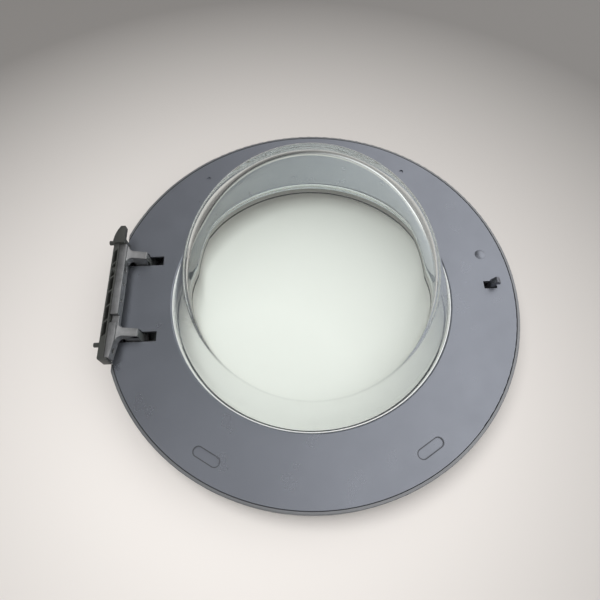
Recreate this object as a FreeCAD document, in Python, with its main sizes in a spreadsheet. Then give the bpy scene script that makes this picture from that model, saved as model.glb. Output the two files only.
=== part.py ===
"""Porthole door of a front-loading washing machine, lying on its front face with the bowl up.

Millimetres. The origin is on the door's axis, in the plane of the front face. +Z runs along the axis
towards the drum, +X towards the latch and -X towards the hinge. The ring's upper side is the rim plane.
"""
import FreeCAD
import Part
import Sketcher
import math
import os

# Driving dimensions, one cell each.
SIZES = {
    # Frames
    "ring_width": 74.4,
    "frame_depth": 40.0,
    "outer_wall": 3.0,
    "front_round": 14.0,
    "rim_round": 1.2,
    "bezel_inset": 33.0,
    "bezel_thickness": 4.0,
    "seat_width": 8.0,
    "seat_wall": 3.0,
    "locator_height": 4.0,
    "ring_gap": 1.8,
    "ring_wall": 3.0,
    "ring_inner_round": 1.5,
    "ring_outer_round": 0.8,
    "skirt_depth": 9.0,
    "skirt_wall": 2.5,
    "lip_gap": 0.4,
    "press_rib_width": 3.0,
    "press_rib_inset": 1.5,
    # Snap hooks that hold the two frames together
    "snap_count": 6,
    "snap_first_angle": 30.0,
    "snap_width": 16.0,
    "snap_thickness": 2.5,
    "snap_length": 20.0,
    "snap_nose": 1.8,
    "snap_nose_height": 3.0,
    "snap_gap": 0.3,
    "catch_reach": 5.0,
    "catch_height": 3.0,
    "catch_margin": 2.0,
    # Glass bowl
    "bowl_radius": 150.6,
    "bowl_taper": 0.37,
    "bowl_wall": 6.0,
    "bowl_end_height": 95.0,
    "bowl_end_tilt": 17.0,
    "bowl_end_dome": 1200.0,
    "bowl_corner_round": 20.0,
    "bowl_base_round": 4.0,
    "flange_width": 13.4,
    "flange_thickness": 6.0,
    "flange_drop": 8.0,
    "flange_gap": 0.5,
    # Hinge recess in the rim
    "hinge_flat_inset": 16.0,
    "hinge_recess_depth": 14.0,
    "hinge_recess_floor": 2.0,
    # Hinge
    "hinge_pin_inset": 34.3,
    "hinge_pin_drop": 7.2,
    "hinge_pin_radius": 2.5,
    "hinge_pin_overhang": 4.0,
    "running_gap": 0.05,
    "fixed_gap": 0.03,
    "bush_wall": 1.2,
    "bush_standout": 0.4,
    "side_gap": 0.3,
    "arm_spacing": 92.0,
    "arm_width": 9.0,
    "eye_radius": 6.0,
    "arm_root_low": 8.0,
    "arm_root_high": 18.5,
    "arm_neck_high": 13.5,
    "arm_corner_round": 1.5,
    "arm_under_round": 3.0,
    "arm_plan_round": 7.0,
    "arm_block_half": 9.0,
    "arm_block_step": 1.5,
    "arm_inset": 44.0,
    "arm_heel_round": 3.0,
    "bar_inset": 15.5,
    "bar_thickness": 8.0,
    "bar_height": 13.0,
    "bar_near_end": 75.0,
    "bar_far_end": 57.0,
    "bar_near_taper": 3.0,
    "bar_notch_length": 9.5,
    "bar_notch_depth": 6.0,
    "cover_thickness": 6.5,
    "cover_margin_low": 2.0,
    "cover_margin_high": 0.5,
    "cover_end": 7.0,
    "cover_tip": 21.5,
    "cover_leaf_rise": 4.0,
    "cover_leaf_thickness": 6.0,
    "cover_tip_round": 2.0,
    "cover_tip_width": 6.0,
    "cover_tip_inset": 2.0,
    "cover_leaf_length": 20.0,
    "cover_leaf_round": 40.0,
    "cover_near_overlap": 2.5,
    "cover_near_wrap": 3.5,
    "cover_near_round": 2.5,
    "cover_rib_wall": 1.5,
    "cover_cell_count": 6,
    "cover_cell_pitch": 17.0,
    "cover_cell_depth": 13.0,
    "spigot_radius": 2.0,
    "spigot_length": 5.0,
    "spigot_spacing": 20.0,
    "peg_radius": 2.5,
    "peg_length": 6.0,
    "peg_spacing": 121.0,
    "peg_above_bar": 10.0,
    "mount_hole_radius": 2.75,
    "mount_boss_wall": 2.0,
    "mount_hole_near": 66.0,
    "mount_hole_far": 27.0,
    "slot_width": 11.4,
    "slot_inner_inset": 59.5,
    "slot_outer_inset": 20.0,
    # Hinge carrier inside the door
    "carrier_plate": 4.0,
    "carrier_plate_drop": 19.0,
    "carrier_inset": 44.0,
    "carrier_outer_gap": 0.5,
    "carrier_half_length": 68.0,
    "cheek_width": 5.0,
    "cheek_length": 14.0,
    "cheek_top_gap": 0.4,
    "clip_radius": 3.8,
    "clip_thickness": 0.8,
    "clip_groove_depth": 0.6,
    "clip_gap": 0.1,
    "carrier_screw_inset": 23.0,
    "carrier_screw_inner_y": 20.0,
    "carrier_screw_outer_y": 62.0,
    # Screws and bosses
    "boss_radius": 4.5,
    "screw_radius": 1.9,
    "screw_length": 12.0,
    "screw_head_radius": 3.8,
    "screw_head_height": 2.4,
    "screw_hole_gap": 0.2,
    "pilot_spare": 1.0,
    # Latch
    "latch_slot_inner_inset": 34.5,
    "latch_slot_outer_inset": 20.5,
    "latch_slot_width": 9.0,
    "hook_pin_inset": 27.0,
    "hook_pin_drop": 14.0,
    "hook_pin_radius": 2.0,
    "hook_width": 7.0,
    "hook_eye_radius": 5.0,
    "hook_stem_inner": 1.5,
    "hook_stem_outer": 4.0,
    "hook_height": 12.0,
    "hook_nose": 3.5,
    "hook_nose_height": 6.0,
    "hook_lead_in": 3.0,
    "hook_crown": 1.5,
    "hook_back_drop": 6.0,
    "latch_plate": 3.0,
    "latch_plate_drop": 23.0,
    "latch_plate_length": 20.0,
    "latch_plate_half_width": 27.0,
    "latch_cheek": 4.0,
    "latch_cheek_length": 10.0,
    "latch_screw_y": 21.0,
    "spring_wire_radius": 0.5,
    "spring_turns": 4,
    "spring_pitch": 1.15,
    "spring_gap": 0.3,
    "spring_leg": 6.0,
    # Shallow marks moulded into the ring
    "pad_mark_inset": 24.0,
    "pad_mark_angle": 32.0,
    "pad_mark_length": 30.0,
    "pad_mark_width": 11.0,
    "pad_mark_depth": 1.2,
    "dimple_depth": 1.5,
    "latch_dimple_inset": 27.5,
    "latch_dimple_angle": 11.2,
    "latch_dimple_size": 6.0,
    "far_dimple_inset": 24.0,
    "far_dimple_angle": 36.5,
    "far_dimple_size": 2.5,
}


class Size:
    """A length that keeps the sheet formula it was worked out from."""

    def __init__(self, value, formula):
        self.value = value
        self.formula = formula

    def __add__(self, other):
        other = as_size(other)
        return Size(self.value + other.value, f"({self.formula} + {other.formula})")

    def __sub__(self, other):
        other = as_size(other)
        return Size(self.value - other.value, f"({self.formula} - {other.formula})")

    def __mul__(self, other):
        other = as_size(other)
        return Size(self.value * other.value, f"({self.formula} * {other.formula})")

    def __truediv__(self, other):
        other = as_size(other)
        return Size(self.value / other.value, f"({self.formula} / {other.formula})")

    def __neg__(self):
        return Size(-self.value, f"(0 - {self.formula})")

    def __rmul__(self, other):
        return as_size(other) * self

    def root(self):
        return Size(math.sqrt(self.value), f"sqrt({self.formula})")

    def cosine(self):
        return Size(math.cos(math.radians(self.value)), f"cos({self.formula} * 1 deg)")

    def sine(self):
        return Size(math.sin(math.radians(self.value)), f"sin({self.formula} * 1 deg)")


def as_size(number):
    if isinstance(number, Size):
        return number
    return Size(float(number), f"({float(number)})")


class SizeSheet:
    """The document's sheet: every attribute is one driving dimension."""

    def __init__(self, document, sizes):
        self.sheet = document.addObject("Spreadsheet::Sheet", "Sizes")
        for row, (alias, number) in enumerate(sizes.items(), start=1):
            self.sheet.set(f"A{row}", alias)
            self.sheet.set(f"B{row}", str(number))
            self.sheet.setAlias(f"B{row}", alias)
        document.recompute()

    def __getattr__(self, alias):
        return Size(float(self.sheet.get(alias)), f"Sizes.{alias}")


doc = FreeCAD.newDocument("WashingMachineDoor")
s = SizeSheet(doc, SIZES)
subparts = []


def new_body(label):
    body = doc.addObject("PartDesign::Body", label)
    body.Label = label
    subparts.append(body)
    return body


def origin_feature(body, role):
    return next(feature for feature in body.Origin.OriginFeatures if feature.Role == role)


def bind(target, path, size):
    target.setExpression(path, as_size(size).formula)


def bind_base(target, x, y, z):
    for axis, size in (("x", x), ("y", y), ("z", z)):
        bind(target, f"Placement.Base.{axis}", size)


def add_measure(sketch, constraint, name, size):
    index = sketch.addConstraint(constraint)
    sketch.renameConstraint(index, name)
    bind(sketch, f"Constraints.{name}", size)


def place_point(sketch, geometry, position, x, y):
    """Fix one point of a sketch by its two distances from the sketch's origin."""
    for kind, size in (("DistanceX", as_size(x)), ("DistanceY", as_size(y))):
        constraint = Sketcher.Constraint(kind, -1, 1, geometry, position, size.value)
        add_measure(sketch, constraint, f"{kind}_{geometry}_{position}", size)


def fix_radius(sketch, geometry, radius):
    constraint = Sketcher.Constraint("Radius", geometry, radius.value)
    add_measure(sketch, constraint, f"Radius_{geometry}", radius)


def arc_between(start, end, radius, turn):
    """Arc of the given radius that leaves start and bends left (turn 1) or right (turn -1) to end."""
    chord = end - start
    half = chord.Length / 2
    rise = math.sqrt(max(radius * radius - half * half, 0.0))
    left = FreeCAD.Vector(-chord.y, chord.x, 0).normalize()
    centre = start + chord * 0.5 + left * (rise * turn)
    circle = Part.Circle(centre, FreeCAD.Vector(0, 0, 1), radius)
    first, last = (start, end) if turn > 0 else (end, start)
    angles = [math.atan2(spot.y - centre.y, spot.x - centre.x) for spot in (first, last)]
    return Part.ArcOfCircle(circle, angles[0], angles[1])


def draw_outline(sketch, corners):
    """Closed outline. A corner is (x, y), or (x, y, radius, turn) where an arc leads to it."""
    base = sketch.GeometryCount
    count = len(corners)
    spots = [FreeCAD.Vector(as_size(corner[0]).value, as_size(corner[1]).value, 0) for corner in corners]
    ends = []
    for index in range(count):
        after = (index + 1) % count
        start_end = (1, 2)
        if len(corners[after]) == 4:
            radius, turn = as_size(corners[after][2]), corners[after][3]
            curve = arc_between(spots[index], spots[after], radius.value, turn)
            if turn < 0:
                start_end = (2, 1)
        else:
            curve = Part.LineSegment(spots[index], spots[after])
        sketch.addGeometry(curve, False)
        ends.append(start_end)
    for index in range(count):
        after = (index + 1) % count
        sketch.addConstraint(Sketcher.Constraint(
            "Coincident", base + index, ends[index][1], base + after, ends[after][0]))
        place_point(sketch, base + index, ends[index][0], corners[index][0], corners[index][1])
        if len(corners[after]) == 4:
            fix_radius(sketch, base + index, as_size(corners[after][2]))


def draw_circle(sketch, x, y, radius):
    x, y, radius = as_size(x), as_size(y), as_size(radius)
    circle = Part.Circle(FreeCAD.Vector(x.value, y.value, 0), FreeCAD.Vector(0, 0, 1), radius.value)
    index = sketch.addGeometry(circle, False)
    place_point(sketch, index, 3, x, y)
    fix_radius(sketch, index, radius)


def new_sketch(body, name, plane, offset):
    sketch = body.newObject("Sketcher::SketchObject", name)
    sketch.AttachmentSupport = (origin_feature(body, plane), [""])
    sketch.MapMode = "FlatFace"
    bind(sketch, "AttachmentOffset.Base.z", offset)
    return sketch


def outlines(body, name, plane, shapes, offset=0):
    sketch = new_sketch(body, name, plane, offset)
    for corners in shapes:
        draw_outline(sketch, corners)
    return sketch


def circles(body, name, plane, spots, radius, offset=0):
    sketch = new_sketch(body, name, plane, offset)
    for x, y in spots:
        draw_circle(sketch, x, y, radius)
    return sketch


def rectangle(x_low, x_high, y_low, y_high):
    return [(x_low, y_low), (x_high, y_low), (x_high, y_high), (x_low, y_high)]


def revolve(body, name, sketch):
    """Turn the profile once round the sketch's vertical axis."""
    feature = body.newObject("PartDesign::Revolution", name)
    feature.Profile = sketch
    feature.ReferenceAxis = (sketch, ["V_Axis"])
    feature.Angle = 360
    doc.recompute()
    return feature


def extrude(body, kind, name, sketch, length, side, reverse):
    """A pad or a pocket, which must really add or remove material."""
    before = body.Shape.Volume if body.Shape.Solids else 0.0
    feature = body.newObject(f"PartDesign::{kind}", name)
    feature.Profile = sketch
    bind(feature, "Length", length)
    feature.SideType = side
    feature.Reversed = reverse
    doc.recompute()
    gained = body.Shape.Volume - before
    if (kind == "Pad") != (gained > 0):
        raise ValueError(f"{body.Label} {name} changed the volume by {gained}")
    return feature


def pad(body, name, sketch, length, side="One side", reverse=False):
    return extrude(body, "Pad", name, sketch, length, side, reverse)


def pocket(body, name, sketch, length, side="One side", reverse=False):
    return extrude(body, "Pocket", name, sketch, length, side, reverse)


def polar(body, name, original, count):
    """Repeat a feature evenly round the door's axis."""
    feature = body.newObject("PartDesign::PolarPattern", name)
    feature.Originals = [original]
    feature.Axis = (origin_feature(body, "Z_Axis"), [""])
    feature.Angle = 360
    bind(feature, "Occurrences", count)
    body.Tip = feature
    doc.recompute()
    return feature


def primitive(kind, name, **sizes):
    """A primitive solid with each of its named sizes bound to the sheet."""
    solid = doc.addObject(f"Part::{kind}", name)
    for path, size in sizes.items():
        bind(solid, path, size)
    return solid


def rod_along_y(name, radius, length, x, y, z):
    """Cylinder from (x, y, z) along +Y."""
    rod = primitive("Cylinder", name, Radius=radius, Height=length)
    rod.Placement = FreeCAD.Placement(FreeCAD.Vector(), FreeCAD.Rotation(FreeCAD.Vector(1, 0, 0), -90))
    bind_base(rod, x, y, z)
    return rod


def combine(kind, name, base, tool):
    solid = doc.addObject(f"Part::{kind}", name)
    solid.Base = base
    solid.Tool = tool
    doc.recompute()
    return solid


def sleeve_along_y(name, outer_radius, bore_radius, length, x, y, z):
    body = rod_along_y(f"{name}_body", outer_radius, length, x, y, z)
    bore = rod_along_y(f"{name}_bore", bore_radius, length, x, y, z)
    return combine("Cut", name, body, bore)


def keep(solid, label):
    solid.Label = label
    subparts.append(solid)


def gather(label, solids):
    """One sub-part made of several like solids that lie apart."""
    group = doc.addObject("Part::MultiFuse", label)
    group.Shapes = solids
    doc.recompute()
    keep(group, label)


def edges_between(shape, first_test, second_test):
    """Numbers of the edges that lie between a face of the first kind and one of the second."""
    found = []
    for number, edge in enumerate(shape.Edges, start=1):
        faces = shape.ancestorsOfType(edge, Part.Face)
        if len(faces) != 2:
            continue
        one, two = faces
        if (first_test(one) and second_test(two)) or (first_test(two) and second_test(one)):
            found.append(number)
    return found


def is_cone(face):
    return isinstance(face.Surface, Part.Cone)


def is_sphere(face):
    return isinstance(face.Surface, Part.Sphere)


def is_level(face):
    return isinstance(face.Surface, Part.Plane)


def round_edges(name, base, first_test, second_test, radius):
    rounded = doc.addObject("Part::Fillet", name)
    rounded.Base = base
    rounded.Edges = [
        (number, radius.value, radius.value)
        for number in edges_between(base.Shape, first_test, second_test)]
    doc.recompute()
    return rounded


# Radii, levels and places that several pieces share. What stands on the ring is placed from its edge.
door_radius = s.bowl_radius + s.ring_width
ring_inner_radius = s.bowl_radius + s.ring_gap
flange_radius = s.bowl_radius + s.flange_width
seat_inner_radius = flange_radius - s.seat_width
bezel_front_radius = door_radius - s.bezel_inset
hinge_flat = door_radius - s.hinge_flat_inset
bar_back = door_radius - s.bar_inset
hinge_pin_x = s.hinge_pin_inset - door_radius
arm_front = s.arm_inset - door_radius
slot_inner_end = door_radius - s.slot_inner_inset
slot_outer_end = door_radius - s.slot_outer_inset
carrier_inner_edge = door_radius - s.carrier_inset
carrier_screw_x = s.carrier_screw_inset - door_radius
hook_pin_x = door_radius - s.hook_pin_inset
latch_slot_inner_end = door_radius - s.latch_slot_inner_inset
latch_slot_outer_end = door_radius - s.latch_slot_outer_inset
pad_mark_radius = door_radius - s.pad_mark_inset
latch_dimple_radius = door_radius - s.latch_dimple_inset
far_dimple_radius = door_radius - s.far_dimple_inset
rim = s.frame_depth
ring_under = rim - s.ring_wall
flange_top = rim - s.flange_drop
seat_level = flange_top - s.flange_thickness
wall_inside = door_radius - s.outer_wall
ring_radius = wall_inside - s.lip_gap
recess_level = rim - s.hinge_recess_depth
pin_level = rim - s.hinge_pin_drop
arm_places = {"upper": s.arm_spacing / 2, "lower": -(s.arm_spacing / 2)}
bar_front = s.bar_thickness - bar_back
bar_low = rim + s.arm_root_low
bar_middle = bar_low + s.bar_height / 2
arm_root_top = rim + s.arm_root_high
arm_neck_top = rim + s.arm_neck_high
cover_back = -(bar_back + s.cover_thickness)
leaf_right = bar_front - s.cover_tip_inset
mount_holes = [(-s.mount_hole_near, bar_middle), (s.mount_hole_far, bar_middle)]
spigots = [(side * s.spigot_spacing / 2, bar_middle) for side in (-1, 1)]
bush_radius = s.hinge_pin_radius + s.running_gap + s.bush_wall
bush_half = s.arm_width / 2 + s.bush_standout
cheek_inner = bush_half + s.side_gap
cheek_outer = cheek_inner + s.cheek_width
clip_inner = s.arm_spacing / 2 + cheek_outer + s.clip_gap
carrier_top = rim - s.carrier_plate_drop
carrier_under = carrier_top - s.carrier_plate
carrier_screws = [
    (carrier_screw_x, side * y)
    for y in (s.carrier_screw_inner_y, s.carrier_screw_outer_y)
    for side in (-1, 1)]
hook_pin_level = rim - s.hook_pin_drop
hook_side = s.hook_width / 2 + s.side_gap
spring_room = s.spring_pitch * (s.spring_turns + 2)
hook_far_side = hook_side + spring_room
latch_top = rim - s.latch_plate_drop
latch_under = latch_top - s.latch_plate
latch_screws = [(hook_pin_x, side * s.latch_screw_y) for side in (-1, 1)]
catch_inside = wall_inside - s.catch_reach
snap_outside = catch_inside - s.snap_gap
snap_inside = snap_outside - s.snap_thickness
snap_foot = ring_under - s.snap_length
snap_shoulder = snap_foot + s.snap_nose_height


def radial_outline(body, name, corners, angle):
    """A profile in the plane through the door's axis that stands at the given angle from +X."""
    sketch = outlines(body, name, "XZ_Plane", [corners])
    sketch.AttachmentOffset = FreeCAD.Placement(
        FreeCAD.Vector(), FreeCAD.Rotation(FreeCAD.Vector(0, 1, 0), angle.value))
    return sketch


def half_chord(radius, distance):
    return (radius * radius - distance * distance).root()


def cut_hinge_flat(body):
    """Take the round rim back to a straight edge where the hinge stands."""
    reach = half_chord(door_radius, hinge_flat) + s.outer_wall
    outside = door_radius + s.outer_wall
    edge = outlines(
        body, "hinge_flat_outline", "XY_Plane", [rectangle(-outside, -hinge_flat, -reach, reach)], rim)
    pocket(body, "hinge_flat_cut", edge, s.hinge_recess_depth)


def add_bosses(body, name, spots, top):
    foot = s.outer_wall / 2
    boss = circles(body, f"{name}_boss_outline", "XY_Plane", spots, s.boss_radius, foot)
    pad(body, f"{name}_boss", boss, top - foot)


def cut_pilots(body, name, spots, top, plate):
    pilot = circles(body, f"{name}_pilot_outline", "XY_Plane", spots, s.screw_radius + s.fixed_gap, top)
    pocket(body, f"{name}_pilot", pilot, s.screw_length - plate + s.pilot_spare)


def make_outer_frame():
    """Front ring: a moulded trough with a rounded outer edge and a bezel that slopes in to the glass."""
    body = new_body("outer_frame")
    bezel_slope = (seat_level - s.seat_wall) / (bezel_front_radius - seat_inner_radius)
    rib_inside = flange_radius + s.flange_gap
    rib_outside = rib_inside + s.outer_wall
    bezel_back = bezel_slope * (bezel_front_radius - rib_outside) + s.bezel_thickness
    floor_inside = bezel_front_radius + (s.bezel_thickness - s.outer_wall) / bezel_slope
    land_outside = door_radius - s.front_round
    profile = outlines(body, "frame_profile", "XZ_Plane", [[
        (door_radius, s.front_round, s.front_round, 1),
        (door_radius, rim - s.rim_round),
        (door_radius - s.rim_round, rim, s.rim_round, 1),
        (wall_inside, rim),
        (wall_inside, s.front_round),
        (land_outside, s.outer_wall, s.front_round - s.outer_wall, -1),
        (floor_inside, s.outer_wall),
        (rib_outside, bezel_back),
        (rib_outside, seat_level + s.locator_height),
        (rib_inside, seat_level + s.locator_height),
        (rib_inside, seat_level),
        (seat_inner_radius, seat_level),
        (seat_inner_radius, seat_level - s.seat_wall),
        (bezel_front_radius, 0),
        (land_outside, 0),
    ]])
    revolve(body, "frame_ring", profile)
    catch_low = snap_shoulder + s.snap_gap
    catch_profile = radial_outline(body, "catch_profile", rectangle(
        catch_inside, wall_inside + s.outer_wall / 2, catch_low, catch_low + s.catch_height),
        s.snap_first_angle)
    catch = pad(body, "catch", catch_profile, s.snap_width + 2 * s.catch_margin, "Symmetric")
    polar(body, "catches", catch, s.snap_count)
    add_bosses(body, "carrier", carrier_screws, carrier_under)
    cut_pilots(body, "carrier", carrier_screws, carrier_under, s.carrier_plate)
    add_bosses(body, "latch", latch_screws, latch_under)
    cut_pilots(body, "latch", latch_screws, latch_under, s.latch_plate)
    cut_hinge_flat(body)


def cut_pad_marks(body):
    """Two shallow obround marks on the lower part of the ring, each along the ring's own direction."""
    half_width = s.pad_mark_width / 2
    half_run = s.pad_mark_length / 2 - half_width
    shapes = []
    for side in (-1, 1):
        across = (side * s.pad_mark_angle.sine(), -s.pad_mark_angle.cosine())
        along = (-across[1], across[0])
        corners = []
        for outward, run in ((-1, -1), (0, -1), (1, -1), (1, 1), (0, 1), (-1, 1)):
            radius = pad_mark_radius + outward * half_width
            reach = run * (half_run if outward else s.pad_mark_length / 2)
            corners.append(tuple(across[axis] * radius + along[axis] * reach for axis in (0, 1)))
        for index in (1, 2, 4, 5):
            corners[index] += (half_width, 1)
        shapes.append(corners)
    marks = outlines(body, "pad_mark_outline", "XY_Plane", shapes, rim)
    pocket(body, "pad_marks", marks, s.pad_mark_depth)


def cut_dimples(body):
    """Small round dimples: one beside the latch and two on the far side of the ring."""
    beside_latch = [(
        latch_dimple_radius * s.latch_dimple_angle.cosine(),
        latch_dimple_radius * s.latch_dimple_angle.sine())]
    far = [(
        side * far_dimple_radius * s.far_dimple_angle.sine(),
        far_dimple_radius * s.far_dimple_angle.cosine()) for side in (-1, 1)]
    dimple = circles(body, "latch_dimple_outline", "XY_Plane", beside_latch, s.latch_dimple_size, rim)
    pocket(body, "latch_dimple", dimple, s.dimple_depth)
    dimples = circles(body, "far_dimple_outline", "XY_Plane", far, s.far_dimple_size, rim)
    pocket(body, "far_dimples", dimples, s.dimple_depth)


def make_inner_frame():
    """Drum-side ring: a flat shell that presses on the glass flange and snaps into the front ring."""
    body = new_body("inner_frame")
    rib_outside = flange_radius - s.press_rib_inset
    rib_inside = rib_outside - s.press_rib_width
    skirt_inside = ring_radius - s.skirt_wall
    profile = outlines(body, "ring_profile", "XZ_Plane", [[
        (ring_inner_radius, ring_under),
        (rib_inside, ring_under),
        (rib_inside, flange_top),
        (rib_outside, flange_top),
        (rib_outside, ring_under),
        (skirt_inside, ring_under),
        (skirt_inside, rim - s.skirt_depth),
        (ring_radius, rim - s.skirt_depth),
        (ring_radius, rim - s.ring_outer_round),
        (ring_radius - s.ring_outer_round, rim, s.ring_outer_round, 1),
        (ring_inner_radius + s.ring_inner_round, rim),
        (ring_inner_radius, rim - s.ring_inner_round, s.ring_inner_round, 1),
    ]])
    revolve(body, "ring", profile)
    cut_hinge_flat(body)
    wall_front = hinge_flat - s.skirt_wall
    floor_edge = hinge_flat - s.skirt_wall / 2
    floor_under = recess_level - s.hinge_recess_floor
    chord = half_chord(ring_radius, hinge_flat)
    wall = outlines(
        body, "recess_wall_outline", "XY_Plane",
        [rectangle(-hinge_flat, -wall_front, -chord, chord)], floor_under)
    pad(body, "recess_wall", wall, ring_under + s.ring_wall / 2 - floor_under)
    floor_chord = half_chord(ring_radius, floor_edge)
    floor = outlines(
        body, "recess_floor_outline", "XY_Plane",
        [[(-floor_edge, -floor_chord, ring_radius, 1), (-floor_edge, floor_chord)]], floor_under)
    pad(body, "recess_floor", floor, s.hinge_recess_floor)
    snap_profile = radial_outline(body, "snap_profile", [
        (snap_inside, snap_foot),
        (snap_outside, snap_foot),
        (snap_outside + s.snap_nose, snap_shoulder),
        (snap_outside, snap_shoulder),
        (snap_outside, ring_under + s.ring_wall / 2),
        (snap_inside, ring_under + s.ring_wall / 2),
    ], s.snap_first_angle)
    snap = pad(body, "snap", snap_profile, s.snap_width, "Symmetric")
    polar(body, "snaps", snap, s.snap_count)
    half_slot = s.slot_width / 2
    hinge_slots = outlines(body, "hinge_slot_outline", "XY_Plane", [
        rectangle(-slot_outer_end, -slot_inner_end, place - half_slot, place + half_slot)
        for place in arm_places.values()], rim)
    pocket(body, "hinge_slots", hinge_slots, s.ring_wall)
    half_latch = s.latch_slot_width / 2
    latch_slot = outlines(body, "latch_slot_outline", "XY_Plane", [
        rectangle(latch_slot_inner_end, latch_slot_outer_end, -half_latch, half_latch)], rim)
    pocket(body, "latch_slot", latch_slot, s.ring_wall)
    cut_pad_marks(body)
    cut_dimples(body)


def bowl_form(name, inset, round_radius):
    """Solid cone with a slanted, slightly domed end, the given wall thickness inside the glass's skin."""
    foot = seat_level
    slant = (s.bowl_taper * s.bowl_taper + 1).root()
    top = rim + s.bowl_end_height * 2
    foot_radius = s.bowl_radius + s.bowl_taper * (rim - foot) - inset * slant
    top_radius = s.bowl_radius + s.bowl_taper * (rim - top) - inset * slant
    cone = primitive("Cone", f"{name}_cone", Radius1=foot_radius, Radius2=top_radius, Height=top - foot)
    bind_base(cone, 0, 0, foot)
    dome = primitive("Sphere", f"{name}_dome", Radius=s.bowl_end_dome - inset)
    bind_base(
        dome, 0, s.bowl_end_dome * s.bowl_end_tilt.sine(),
        rim + s.bowl_end_height - s.bowl_end_dome * s.bowl_end_tilt.cosine())
    slanted = combine("Common", f"{name}_slanted", cone, dome)
    return round_edges(f"{name}_form", slanted, is_cone, is_sphere, round_radius)


def make_door_glass():
    """Pressed glass bowl: a tapered wall with a slanted end and a flat flange held between the frames."""
    outside = bowl_form("bowl_outside", as_size(0), s.bowl_corner_round)
    inside = bowl_form("bowl_inside", s.bowl_wall, s.bowl_corner_round - s.bowl_wall)
    flange = primitive("Cylinder", "flange", Radius=flange_radius, Height=s.flange_thickness)
    bind_base(flange, 0, 0, seat_level)
    flanged = combine("Fuse", "flanged_bowl", outside, flange)
    rounded = round_edges("rounded_bowl", flanged, is_cone, is_level, s.bowl_base_round)
    keep(combine("Cut", "glass", rounded, inside), "door_glass")


def arm_profile():
    """Gooseneck arm from the eye on the pin, up through the slot and back to the bar."""
    eye_left = hinge_pin_x - s.eye_radius
    eye_low = pin_level - s.eye_radius
    inside_bar = bar_front - s.bar_thickness / 2
    return [
        (eye_left, pin_level),
        (hinge_pin_x, eye_low, s.eye_radius, 1),
        (arm_front - s.arm_heel_round, eye_low),
        (arm_front, eye_low + s.arm_heel_round, s.arm_heel_round, 1),
        (arm_front, arm_neck_top - s.arm_corner_round),
        (arm_front - s.arm_corner_round, arm_neck_top, s.arm_corner_round, 1),
        (bar_front, arm_root_top),
        (inside_bar, arm_root_top),
        (inside_bar, bar_low),
        (eye_left - s.arm_under_round, bar_low),
        (eye_left, bar_low - s.arm_under_round, s.arm_under_round, -1),
    ]


def root_outline(place):
    """Plan of an arm's root: a concave round on the near side and a stepped block on the far side."""
    low = place - s.arm_width / 2
    high = place + s.arm_width / 2
    inside_bar = bar_front - s.bar_thickness / 2
    flare = s.arm_plan_round
    block_front = bar_front + s.arm_block_step
    block_round = s.arm_block_half - s.arm_width / 2
    return [
        (inside_bar, low - flare),
        (bar_front, low - flare),
        (bar_front + flare, low, flare, -1),
        (bar_front + flare, high),
        (block_front + block_round, high),
        (block_front, place + s.arm_block_half, block_round, -1),
        (inside_bar, place + s.arm_block_half),
    ]


def add_arm_roots(body):
    """Raise both roots to the bar's side of the arms, then slope their tops like the arms' own."""
    roots = outlines(
        body, "arm_root_outline", "XY_Plane", [root_outline(place) for place in arm_places.values()], bar_low)
    pad(body, "arm_roots", roots, arm_root_top - bar_low)
    above = outlines(body, "arm_top_outline", "XZ_Plane", [[
        (arm_front - s.arm_corner_round, arm_neck_top),
        (arm_front - s.arm_corner_round, arm_root_top),
        (bar_front, arm_root_top),
    ]])
    pocket(body, "arm_tops", above, 2 * s.bar_near_end, "Symmetric")


def make_hinge_bracket():
    """Cast hinge: a bar with two gooseneck arms whose eyes turn on the pin inside the door."""
    body = new_body("hinge_bracket")
    near_root = arm_places["lower"] - s.arm_width / 2 - s.arm_plan_round
    bar = outlines(body, "bar_outline", "XY_Plane", [[
        (-bar_back, -s.bar_near_end),
        (bar_front - s.bar_near_taper, -s.bar_near_end),
        (bar_front, near_root),
        (bar_front, s.bar_far_end),
        (-bar_back, s.bar_far_end),
    ]], bar_low)
    pad(body, "bar", bar, s.bar_height)
    notch_start = arm_places["lower"] + s.arm_block_half
    notch = outlines(body, "bar_notch_outline", "XY_Plane", [
        rectangle(-bar_back, bar_front, notch_start, notch_start + s.bar_notch_length)],
        bar_low + s.bar_height)
    pocket(body, "bar_notch", notch, s.bar_notch_depth)
    for name, place in arm_places.items():
        arm = outlines(body, f"{name}_arm_profile", "XZ_Plane", [arm_profile()], -place)
        pad(body, f"{name}_arm", arm, s.arm_width, "Symmetric")
    add_arm_roots(body)
    bore = circles(
        body, "eye_bore_outline", "XZ_Plane", [(hinge_pin_x, pin_level)], bush_radius + s.fixed_gap)
    pocket(body, "eye_bore", bore, s.arm_spacing + 2 * s.arm_width, "Symmetric")
    middle = -(bar_back - s.bar_thickness / 2)
    for name, spots, radius in (
            ("mount_holes", mount_holes, s.mount_hole_radius),
            ("spigot_holes", spigots, s.spigot_radius + s.fixed_gap)):
        holes = circles(body, f"{name}_outline", "YZ_Plane", spots, radius, middle)
        pocket(body, name, holes, s.bar_thickness, "Symmetric")


def leaf_outline():
    """Plan of the thin leaf that goes on beyond the bar's far end to a blunt tip."""
    tip = s.bar_far_end + s.cover_tip
    return [
        (cover_back, s.bar_far_end),
        (leaf_right, s.bar_far_end),
        (leaf_right, tip - s.cover_tip_round),
        (leaf_right - s.cover_tip_round, tip, s.cover_tip_round, 1),
        (leaf_right - s.cover_tip_width, tip),
        (cover_back, tip - s.cover_leaf_length, s.cover_leaf_round, 1),
    ]


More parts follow.
